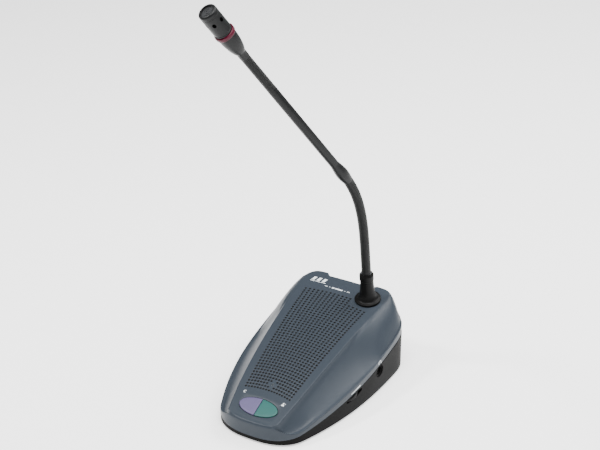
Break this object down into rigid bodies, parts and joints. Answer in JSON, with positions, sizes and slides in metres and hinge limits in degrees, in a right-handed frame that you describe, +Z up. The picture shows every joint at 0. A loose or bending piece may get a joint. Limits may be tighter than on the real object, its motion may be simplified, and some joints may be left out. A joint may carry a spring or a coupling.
{
  "type": "gooseneck podium microphone",
  "caption": "Wedge-shaped desk base with a perforated speaker panel and touch buttons, and a bendable two-stage gooseneck with a lit capsule head.",
  "frame": {"origin": "on the table, under the middle of the base's length and width", "axes": "+Z up, -Y towards the talker (the low front edge of the base), +X to the talker's right as they face the object's front from behind it: the neck stands on the +X side at the back"},
  "size_m": [0.1272, 0.1909, 0.3961],
  "materials": {
    "cover_grey": "satin textured grey-blue",
    "tray_grey": "fine matte texture",
    "black_plastic": "satin",
    "neck_black": "satin black coat",
    "purple_button": "satin",
    "teal_button": "satin",
    "red_ring": "translucent crimson",
    "steel": "bright zinc",
    "ferrite": "sintered matte",
    "paper_cone": "pressed pulp",
    "rubber_black": "matte",
    "cloth_black": "woven",
    "board_green": "solder mask",
    "part_black": "moulded",
    "white_plastic": "satin",
    "led_clear": "clear epoxy",
    "lead_red": "cable jacket",
    "foam_black": "open-cell foam",
    "capsule_metal": "satin",
    "grille_metal": "black coat"
  },
  "bodies": {
    "base": {"top_cover": "cover_grey", "bottom_tray": "tray_grey", "ballast_plate": "steel", "rubber_feet": "rubber_black", "case_screws": "steel", "speaker_basket": "part_black", "speaker_magnet": "ferrite", "speaker_cone": "paper_cone", "speaker_surround": "rubber_black", "speaker_screws": "steel", "grille_cloth": "cloth_black", "main_board": "board_green", "main_board_parts": "part_black", "board_screws": "steel", "button_board": "board_green", "talk_switch": "part_black", "priority_switch": "part_black", "status_led": "led_clear", "volume_board": "board_green", "volume_pot": "part_black", "headphone_jack": "part_black", "jack_collar": "black_plastic", "link_socket_in": "part_black", "link_socket_out": "part_black", "neck_boot": "black_plastic", "neck_stub": "steel", "neck_washer": "steel", "neck_nut": "steel"},
    "talk_key": {"talk_button": "teal_button", "talk_plunger": "white_plastic"},
    "priority_key": {"priority_button": "purple_button", "priority_plunger": "white_plastic"},
    "volume_dial": {"volume_wheel": "black_plastic", "volume_shaft": "steel"},
    "lower_1": {"neck_link_1": "neck_black"},
    "lower_2": {"neck_link_2": "neck_black"},
    "lower_3": {"neck_link_3": "neck_black"},
    "lower_4": {"neck_link_4": "neck_black"},
    "lower_5": {"neck_link_5": "neck_black"},
    "lower_6": {"neck_link_6": "neck_black"},
    "lower_7": {"neck_link_7": "neck_black"},
    "lower_8": {"neck_link_8": "neck_black"},
    "mast": {"neck_coupler": "black_plastic", "neck_tube": "neck_black", "tube_lead": "lead_red"},
    "upper_1": {"head_link_1": "neck_black"},
    "upper_2": {"head_link_2": "neck_black"},
    "upper_3": {"head_link_3": "neck_black"},
    "upper_4": {"head_link_4": "neck_black"},
    "head": {"head_cone": "neck_black", "light_ring": "red_ring", "ring_board": "board_green", "ring_leds": "led_clear", "capsule_housing": "neck_black", "capsule": "capsule_metal", "capsule_foam": "foam_black", "capsule_grille": "grille_metal", "capsule_board": "board_green"}
  },
  "joints": [
    {"name": "talk_press", "type": "slide", "parent": "base", "child": "talk_key", "axis": [0, 0.3833, -0.9236], "range_m": [0, 0.001], "stiffness_N_per_m": 400, "springref_m": -0.0008},
    {"name": "priority_press", "type": "slide", "parent": "base", "child": "priority_key", "axis": [0, 0.3833, -0.9236], "range_m": [0, 0.001], "stiffness_N_per_m": 400, "springref_m": -0.0008},
    {"name": "volume_turn", "type": "hinge", "parent": "base", "child": "volume_dial", "pos_m": [0.04675, -0.01, 0.01793], "axis": [0, -0.1787, 0.9839], "range_deg": [-140, 140]},
    {"name": "lower_pitch_1", "type": "hinge", "parent": "base", "child": "lower_1", "pos_m": [0.028, 0.06874, 0.10054], "axis": [0.8788, -0.4726, -0.0659], "range_deg": [-12, 12]},
    {"name": "lower_side_1", "type": "hinge", "parent": "lower_1", "child": "lower_2", "pos_m": [0.028, 0.06692, 0.11362], "axis": [0.4772, 0.8704, 0.1214], "range_deg": [-12, 12]},
    {"name": "lower_pitch_2", "type": "hinge", "parent": "lower_2", "child": "lower_3", "pos_m": [0.028, 0.0651, 0.12669], "axis": [0.8788, -0.4726, -0.0659], "range_deg": [-12, 12]},
    {"name": "lower_side_2", "type": "hinge", "parent": "lower_3", "child": "lower_4", "pos_m": [0.02793, 0.06315, 0.13975], "axis": [0.4767, 0.8636, 0.1639], "range_deg": [-12, 12]},
    {"name": "lower_pitch_3", "type": "hinge", "parent": "lower_4", "child": "lower_5", "pos_m": [0.02766, 0.06083, 0.15274], "axis": [0.8788, -0.4726, -0.0659], "range_deg": [-12, 12]},
    {"name": "lower_side_3", "type": "hinge", "parent": "lower_5", "child": "lower_6", "pos_m": [0.02705, 0.05791, 0.1656], "axis": [0.4701, 0.8339, 0.2892], "range_deg": [-12, 12]},
    {"name": "lower_pitch_4", "type": "hinge", "parent": "lower_6", "child": "lower_7", "pos_m": [0.02597, 0.05414, 0.1782], "axis": [0.8788, -0.4726, -0.0659], "range_deg": [-12, 12]},
    {"name": "lower_side_4", "type": "hinge", "parent": "lower_7", "child": "lower_8", "pos_m": [0.0243, 0.04933, 0.19038], "axis": [0.4418, 0.7538, 0.4864], "range_deg": [-12, 12]},
    {"name": "lower_pitch_5", "type": "hinge", "parent": "lower_8", "child": "mast", "pos_m": [0.02192, 0.04331, 0.20188], "axis": [0.8788, -0.4726, -0.0659], "range_deg": [-12, 12]},
    {"name": "upper_pitch_1", "type": "hinge", "parent": "mast", "child": "upper_1", "pos_m": [-0.01163, -0.03459, 0.31301], "axis": [0.8788, -0.4726, -0.0659], "range_deg": [-12, 12]},
    {"name": "upper_side_1", "type": "hinge", "parent": "upper_1", "child": "upper_2", "pos_m": [-0.01403, -0.04017, 0.32096], "axis": [0.4124, 0.6828, 0.6031], "range_deg": [-12, 12]},
    {"name": "upper_pitch_2", "type": "hinge", "parent": "upper_2", "child": "upper_3", "pos_m": [-0.01643, -0.04574, 0.32891], "axis": [0.8788, -0.4726, -0.0659], "range_deg": [-12, 12]},
    {"name": "upper_side_2", "type": "hinge", "parent": "upper_3", "child": "upper_4", "pos_m": [-0.01883, -0.05131, 0.33686], "axis": [0.4124, 0.6828, 0.6031], "range_deg": [-12, 12]},
    {"name": "upper_pitch_3", "type": "hinge", "parent": "upper_4", "child": "head", "pos_m": [-0.02123, -0.05688, 0.34481], "axis": [0.8788, -0.4726, -0.0659], "range_deg": [-12, 12]}
  ],
  "couplings": [
    {"joint": "lower_pitch_2", "follows": "lower_pitch_1", "ratio": 1},
    {"joint": "lower_side_2", "follows": "lower_side_1", "ratio": 1},
    {"joint": "lower_pitch_3", "follows": "lower_pitch_1", "ratio": 1},
    {"joint": "lower_side_3", "follows": "lower_side_1", "ratio": 1},
    {"joint": "lower_pitch_4", "follows": "lower_pitch_1", "ratio": 1},
    {"joint": "lower_side_4", "follows": "lower_side_1", "ratio": 1},
    {"joint": "lower_pitch_5", "follows": "lower_pitch_1", "ratio": 1},
    {"joint": "upper_pitch_2", "follows": "upper_pitch_1", "ratio": 1},
    {"joint": "upper_side_2", "follows": "upper_side_1", "ratio": 1},
    {"joint": "upper_pitch_3", "follows": "upper_pitch_1", "ratio": 1}
  ]
}
